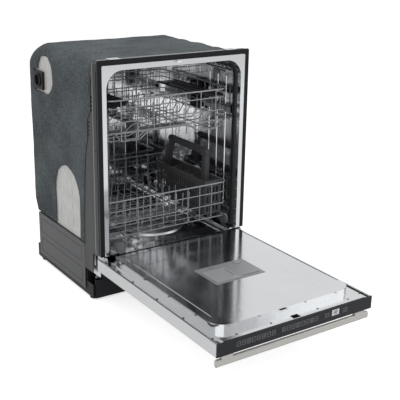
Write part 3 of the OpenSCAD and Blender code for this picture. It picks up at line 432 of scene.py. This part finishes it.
LOWER_RACK = "lower_rack", "rack_grey"
finish_piece(wires("lower_rack_wires", lower_walls(), WIRE_D), *LOWER_RACK, "lower_rack_walls")
finish_piece(wires("lower_rack_rim", [ring(RIM, RACK_HALF, CORNER)], RIM_D, RIM_BEND), *LOWER_RACK)
finish_piece(wires("lower_rack_bed", lower_floor(), WIRE_D), *LOWER_RACK, "lower_rack_floor")
for row, row_y in FOLDING_ROWS.items():
    row_wires = wires("tine_row_" + row + "_wires", tine_row(row_y, FOLD), WIRE_D)
    finish_piece(row_wires, "tines_" + row, "rack_grey", "tine_row_" + row)
finish_piece(clips([(x, y) for x in CLIP_ACROSS for y in FOLDING_ROWS.values()]), *LOWER_RACK)


# ---- Upper rack --------------------------------------------------------------

UPPER_HALF, UPPER_CORNER = 249, 36
UPPER_FLOOR, DROP = 600, 26  # the floor's middle, and how far its sides lie below it
STEP_IN, STEP_OUT = 84, 120  # where the floor starts to slope down, and where it is level again
UPPER_RIM, UPPER_LEVELS = box_mm("upper_rack_walls")[1][2] - RIM_D / 2, (28, 74)
UPPER_LENGTHWISE = steps(-192, 192, 64)
CROSSWISE = steps(RACK_FRONT + 24, RACK_BACK - 20, 46)
LOW_WIRES, MIDDLE_WIRES = (-175, 175), (-55, 0, 55)
CUP_TINES, CUP_TINE_HEIGHT = (-72, -28, 28, 72), 58


def stepped(y, half):
    """A crosswise wire of the floor: level in the middle, lower towards the sides, and up at its ends."""
    z = UPPER_FLOOR
    right = [(STEP_IN, z), (STEP_OUT, z - DROP), (half - 20, z - DROP), (half, z + 6)]
    return Path([mm(-x, y, h) for x, h in reversed(right)] + [mm(x, y, h) for x, h in right])


def upper_walls():
    """Level wires, the front's own stepped wire, and uprights."""
    foot = UPPER_FLOOR + 5
    heights = [UPPER_RIM - level for level in UPPER_LEVELS] + [foot + 1]
    walls = [ring(z, UPPER_HALF, UPPER_CORNER) for z in heights]
    walls.append(stepped(RACK_FRONT + 2 * WIRE_IN, UPPER_HALF - UPPER_CORNER))
    for x in UPPER_LENGTHWISE:
        front_foot = UPPER_FLOOR - (0 if abs(x) < STEP_OUT else DROP)
        walls.append(straight((x, FRONT_UPRIGHTS, front_foot), (x, FRONT_UPRIGHTS, UPPER_RIM)))
        walls.append(straight((x, BACK_UPRIGHTS, foot), (x, BACK_UPRIGHTS, UPPER_RIM)))
    return walls + side_uprights(UPPER_HALF, foot, UPPER_RIM)


def upper_floor():
    """Stepped crosswise wires, lengthwise wires over them, and rows of short tines."""
    start, over, low_over = RACK_FRONT + 2, UPPER_FLOOR + 3, UPPER_FLOOR - DROP + 3
    floor = [stepped(y, UPPER_HALF) for y in CROSSWISE]
    floor += [straight((x, start, low_over), (x, CROSSWISE[-1] + 4, low_over)) for x in LOW_WIRES]
    floor += [straight((x, start, over), (x, RACK_BACK, over)) for x in MIDDLE_WIRES]
    floor += [straight((x, y + 1, UPPER_FLOOR), (x, y + 1, UPPER_FLOOR + CUP_TINE_HEIGHT), domed=True)
              for x in CUP_TINES for y in CROSSWISE]
    return floor


UPPER_RACK = "upper_rack", "upper_rack_grey"
finish_piece(wires("upper_rack_wires", upper_walls(), WIRE_D), *UPPER_RACK, "upper_rack_walls")
upper_ring = ring(UPPER_RIM, UPPER_HALF, UPPER_CORNER)
finish_piece(wires("upper_rack_rim", [upper_ring], RIM_D, RIM_BEND), *UPPER_RACK)
finish_piece(wires("upper_rack_bed", upper_floor(), WIRE_D), *UPPER_RACK, "upper_rack_floor")


# ---- Door springs ------------------------------------------------------------

COIL_TURNS, PER_TURN, COIL_R, COIL_WIRE = 16, 24, 5.5, 2.2
COIL_START, COIL_SHARE = 0.12, 0.76  # of the way from the base to the hinge arm


def door_springs():
    """A round-wire coil on each side, leaning from the base up to the tail of the hinge arm."""
    anchor, hook = mm(268, 104, 62), mm(268, 46, 165)
    sideways = Vector((1, 0, 0))
    across = (hook - anchor).normalized().cross(sideways)
    coil = [anchor]
    count = COIL_TURNS * PER_TURN
    for i in range(count + 1):
        turn = i * math.tau / PER_TURN
        middle = anchor + (hook - anchor) * (COIL_START + COIL_SHARE * i / count)
        coil.append(middle + (sideways * math.cos(turn) + across * math.sin(turn)) * (COIL_R / 1000))
    # From the coil's upper end the wire turns outwards, to the hinge arm's tail
    coil += [hook, mm(273, 44, 172), mm(283.6, 44, 173)]
    return [Path([Vector((p.x * side, p.y, p.z)) for p in coil]) for side in (-1, 1)]


coils = wires("door_spring_coils", door_springs(), COIL_WIRE, SPRING_BEND)
finish_piece(coils, "cabinet", "spring_steel", "door_springs")


# ---- Felt blanket, in metres -------------------------------------------------

VOXEL, EASE_PASSES = 0.006, 9
REAR_CORNER = 0.075  # round of the blanket's rear top corner, as seen from the side
REAR_BEND, TOP_BEND = 0.012, 0.05  # round of the long edges down the rear, and what it gains towards the top
FOLD_REACH, FOLD_DEPTH, FOLD_FINENESS = 0.06, 0.0035, (9, 30, 16)  # of folds at the front and top edges
SOFT_WAVES = (7, 0.0016), (24, 0.0007)  # fineness and depth of the unevenness all over


def remeshed(node):
    """The CAD solid as an even, slightly eased mesh."""
    thing = place("felt_blanket", frame["nodes"][node].data.copy())
    remesh = thing.modifiers.new("remesh", "REMESH")
    remesh.mode = "VOXEL"
    remesh.voxel_size = VOXEL
    ease = thing.modifiers.new("ease", "SMOOTH")
    ease.iterations = EASE_PASSES
    baked = bpy.data.meshes.new_from_object(thing.evaluated_get(bpy.context.evaluated_depsgraph_get()))
    thing.modifiers.clear()
    thing.data = baked
    return thing


def round_long_edges(mesh, hi):
    """Rounds the edges between the sides and the rear, and further those between the sides and the top."""
    for vertex in mesh.vertices:
        p = vertex.co
        past_y, past_z = max(p.y - hi.y + REAR_CORNER, 0), max(p.z - hi.z + REAR_CORNER, 0)
        past = math.hypot(past_y, past_z)
        if past == 0:
            continue
        bend = REAR_BEND + TOP_BEND * past_z / past
        in_x, in_deep = bend - hi.x + abs(p.x), bend - REAR_CORNER + past
        reach = math.hypot(in_x, in_deep)
        if in_x > 0 and in_deep > 0 and reach > bend:
            short = 1 - bend / reach
            p.x -= math.copysign(in_x * short, p.x)
            p.y -= past_y / past * in_deep * short
            p.z -= past_z / past * in_deep * short
    mesh.update()


def pucker(mesh, lo, hi):
    """Makes the surface softly uneven, with folds near the front and the top, inside the solid's box."""
    normals = [v.normal.copy() for v in mesh.vertices]
    for vertex, normal in zip(mesh.vertices, normals):
        p = vertex.co
        from_edge = min(hi.z - p.z, p.y - lo.y + FOLD_REACH / 2)
        near = math.exp(-max(from_edge, 0) / FOLD_REACH)
        fold = noise.noise(p * Vector(FOLD_FINENESS)) - 0.5
        soft = sum(noise.noise(p * fineness) * depth for fineness, depth in SOFT_WAVES)
        vertex.co = p + normal * (soft + fold * FOLD_DEPTH * near)
        for axis in range(3):
            vertex.co[axis] = min(max(vertex.co[axis], lo[axis]), hi[axis])


def felt_blanket():
    """The blanket's solid, rounded at its edges and puckered like taped-on felt."""
    lo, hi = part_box("insulation_blanket")
    thing = remeshed("insulation_blanket")
    round_long_edges(thing.data, hi)
    pucker(thing.data, lo, hi)
    for polygon in thing.data.polygons:
        polygon.use_smooth = True
    return thing


blanket = finish_piece(felt_blanket(), "cabinet", "felt", "insulation_blanket")


# ---- Control strip -----------------------------------------------------------

# A bar on the strip is x0, x1, z0, z1. Its back lies in the strip and has no face.
BAR_FACES = (4, 5, 6, 7), (0, 1, 5, 4), (1, 2, 6, 5), (2, 3, 7, 6), (3, 0, 4, 7)
MARK_DEPTH, MARK_LIFT = 0.0004, 0.0001  # in metres
DISPLAY_RIM = 2.2  # dark, inside the display window's edge


def marks_on_strip(name, bars):
    """One object of thin raised bars on the front of the control strip."""
    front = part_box("control_panel")[0].y - MARK_LIFT
    verts, faces = [], []
    for x0, x1, z0, z1 in bars:
        faces += [[len(verts) + i for i in face] for face in BAR_FACES]
        for y in (front + MARK_DEPTH, front):
            verts += [(x / 1000, y, z / 1000) for x, z in ((x0, z0), (x1, z0), (x1, z1), (x0, z1))]
    thing = solid(name, verts, faces)
    thing.data.materials.append(LOOKS[name])
    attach(thing, "door")


def key_outline(x, z, half_w, half_h, line):
    """Four bars round a key."""
    x0, x1, z0, z1 = x - half_w, x + half_w, z - half_h, z + half_h
    level = [(x0, x1, z1 - line, z1), (x0, x1, z0, z0 + line)]
    return level + [(x0, x0 + line, z0, z1), (x1 - line, x1, z0, z1)]


def level_lines(x, z, half_w, count, pitch, line):
    """Short level bars, one above the other."""
    heights = [z + (k - (count - 1) / 2) * pitch for k in range(count)]
    return [(x - half_w, x + half_w, middle - line / 2, middle + line / 2) for middle in heights]


def key_bars():
    """Two groups of keys with one to three plain lines each, then a block of four keys, then three lines."""
    z, line, pitch = 158, 0.8, 18
    bars = []
    for i, x in enumerate(steps(-222, -80, pitch) + steps(-58, 84, pitch)):
        bars += key_outline(x, z, half_w=6.6, half_h=7.6, line=line)
        bars += level_lines(x, z, half_w=3.6, count=1 + i % 3, pitch=3.6, line=line)
    for x in (106, 116):
        for block_z in (z - 4, z + 4):
            bars += key_outline(x, block_z, half_w=3.4, half_h=2.6, line=line)
    return bars + level_lines(184, z, half_w=11, count=3, pitch=6, line=0.9)


def display_bars():
    """The lit part of the display: a pale field round a window, which two dark eights fill."""
    (x0, _, z0), (x1, _, z1) = box_mm("display_window")
    field_w, field_h = 6, 3
    eye_x, eye_half_w, eye_h = 4.7, 2, 4
    gap, half_gap = 0.7, 0.8
    x0, x1, z0, z1 = x0 + DISPLAY_RIM, x1 - DISPLAY_RIM, z0 + DISPLAY_RIM, z1 - DISPLAY_RIM
    left, right, low, high = x0 + field_w, x1 - field_w, z0 + field_h, z1 - field_h
    field = [(x0, left, z0, z1), (right, x1, z0, z1), (left, right, z0, low), (left, right, high, z1)]
    middle = (left + right) / 2
    eyes = [(x - eye_half_w, x + eye_half_w, z, z + eye_h)
            for x in (middle - eye_x, middle + eye_x) for z in (low + 1.5, low + 7.5)]
    gaps = [(middle - half_gap, middle + half_gap), (left, left + gap), (right - gap, right)]
    return field + eyes + [(gap_x0, gap_x1, low, high) for gap_x0, gap_x1 in gaps]


surface("key_marks", (0.30, 0.305, 0.31), 0.5, grain=80, tint=0.05, rough_spread=0.05, bump=0.05)
surface("display_light", (0.78, 0.80, 0.82), 0.3, grain=60, tint=0.04, rough_spread=0.04, bump=0.05)
marks_on_strip("key_marks", key_bars())
marks_on_strip("display_light", display_bars())


# ---- Floor, light and camera, in metres --------------------------------------

FLOOR_REACH, FLOOR_GLOW = 30, 0.68
AMBIENT = 0.36  # light of the white world, which is 1 where it is seen


def seen_by(tree, *rays):
    """1 where one of these kinds of ray arrives, and 0 elsewhere."""
    kinds = add(tree, "LightPath", {}).outputs
    seen = kinds[rays[0]]
    for ray in rays[1:]:
        seen = reckon(tree, "MAXIMUM", seen, kinds[ray])
    return seen


def studio_floor():
    """A pale floor that keeps the shadow and glows nearly up to white where it is seen."""
    corners = [(x * FLOOR_REACH, y * FLOOR_REACH, 0) for x, y in ((-1, -1), (1, -1), (1, 1), (-1, 1))]
    plane = solid("floor", corners, [(0, 1, 2, 3)])
    mat = bpy.data.materials.new("floor")
    mat.use_nodes = True
    tree = mat.node_tree
    shader = tree.nodes["Principled BSDF"]
    shader.inputs["Base Color"].default_value = (0.86, 0.86, 0.86, 1)
    shader.inputs["Roughness"].default_value = 0.9
    strength = reckon(tree, "MULTIPLY", seen_by(tree, "Is Camera Ray", "Is Glossy Ray"), FLOOR_GLOW)
    glow = add(tree, "Emission", {"Strength": strength})
    total = add(tree, "AddShader", {0: shader.outputs[0], 1: glow.outputs[0]})
    tree.links.new(total.outputs[0], tree.nodes["Material Output"].inputs["Surface"])
    plane.data.materials.append(mat)


def studio_world():
    """A white world that lights the part less than it shows."""
    world = bpy.data.worlds.new("studio")
    bpy.context.scene.world = world
    world.use_nodes = True
    tree = world.node_tree
    back = tree.nodes["Background"]
    back.inputs["Color"].default_value = (1, 1, 1, 1)
    seen = seen_by(tree, "Is Camera Ray", "Is Glossy Ray", "Is Transmission Ray")
    level = add(tree, "MapRange", {"Value": seen, "To Min": AMBIENT, "To Max": 1.0})
    tree.links.new(level.outputs["Result"], back.inputs["Strength"])


def lamp(name, at, towards, size, power):
    """A square area lamp."""
    light = bpy.data.lights.new(name, "AREA")
    light.shape = "RECTANGLE"
    light.size = light.size_y = size
    light.energy = power
    thing = place(name, light)
    thing.location = at
    thing.rotation_mode = "QUATERNION"
    thing.rotation_quaternion = (Vector(towards) - Vector(at)).to_track_quat("-Z", "Y")


def photo_camera():
    """The camera fitted to the photograph: place, yaw, pitch, roll and lens."""
    yaw, pitch, roll = (math.radians(a) for a in (34.36, -18.73, 1.1))
    ahead = Vector((math.sin(yaw) * math.cos(pitch), math.cos(yaw) * math.cos(pitch), math.sin(pitch)))
    right = ahead.cross(Vector((0, 0, 1))).normalized()
    up = right.cross(ahead)
    side = right * math.cos(roll) + up * math.sin(roll)
    top = up * math.cos(roll) - right * math.sin(roll)
    data = bpy.data.cameras.new("camera")
    data.sensor_width = 36.0
    data.lens = 73.99
    data.clip_start, data.clip_end = 0.05, 100
    camera = place("camera", data)
    turned = Matrix((side, top, -ahead)).transposed().to_4x4()
    camera.matrix_world = Matrix.Translation(mm(-1481, -2316, 1281)) @ turned
    bpy.context.scene.camera = camera


studio_floor()
studio_world()
lamp("key", (-2.6, -2.6, 3.4), (0, 0, 0.4), size=4.3, power=64)
lamp("fill", (3.0, -2.4, 1.8), (0, 0, 0.4), size=2.4, power=20)
lamp("top", (0, 0.3, 3.6), (0, 0, 0), size=3.0, power=30)
photo_camera()
bpy.context.scene.view_settings.view_transform = "Standard"
